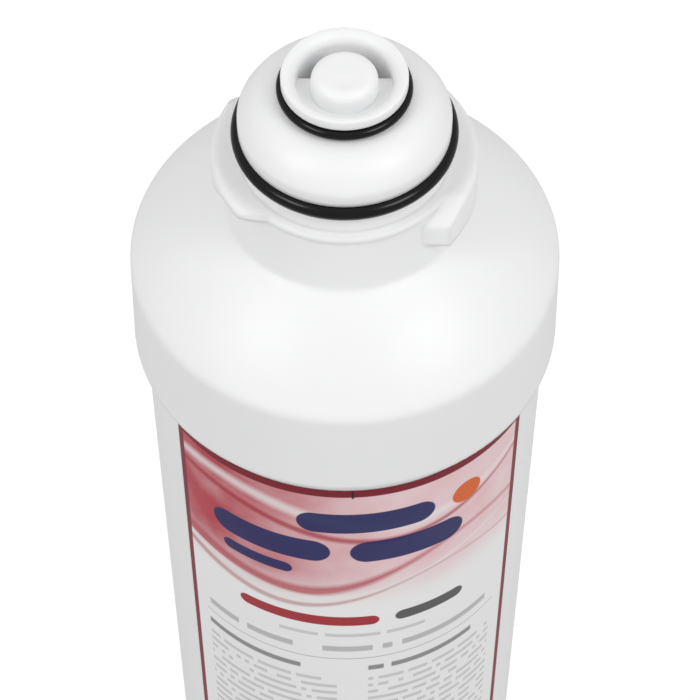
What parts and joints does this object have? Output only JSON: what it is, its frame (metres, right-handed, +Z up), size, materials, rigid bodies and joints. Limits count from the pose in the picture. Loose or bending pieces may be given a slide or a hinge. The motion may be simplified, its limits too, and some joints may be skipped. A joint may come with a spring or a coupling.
{
  "type": "water boiler filter cartridge",
  "caption": "Tall white plastic water filter cartridge with a domed head, bayonet lugs, a stepped spigot with black ring seals and a printed label; holds a carbon block.",
  "frame": {"origin": "on the floor, on the cartridge's axis", "axes": "+Z up along the axis towards the spigot; the label faces -Y"},
  "size_m": [0.0754, 0.0754, 0.31],
  "materials": {
    "shell": "satin moulded polypropylene",
    "seal": "smooth black rubber",
    "label": "coated printed film",
    "carbon": "porous pressed carbon",
    "felt": "soft non-woven",
    "net": "extruded net",
    "end_cap": "matt moulded"
  },
  "bodies": {
    "root": {"head_cap": "shell", "sump": "shell", "large_o_ring": "seal", "small_o_ring": "seal", "nipple_o_ring": "seal", "label": "label", "carbon_block": "carbon", "felt_wrap": "felt", "net_sleeve": "net", "upper_end_cap": "end_cap", "lower_end_cap": "end_cap"}
  },
  "joints": []
}
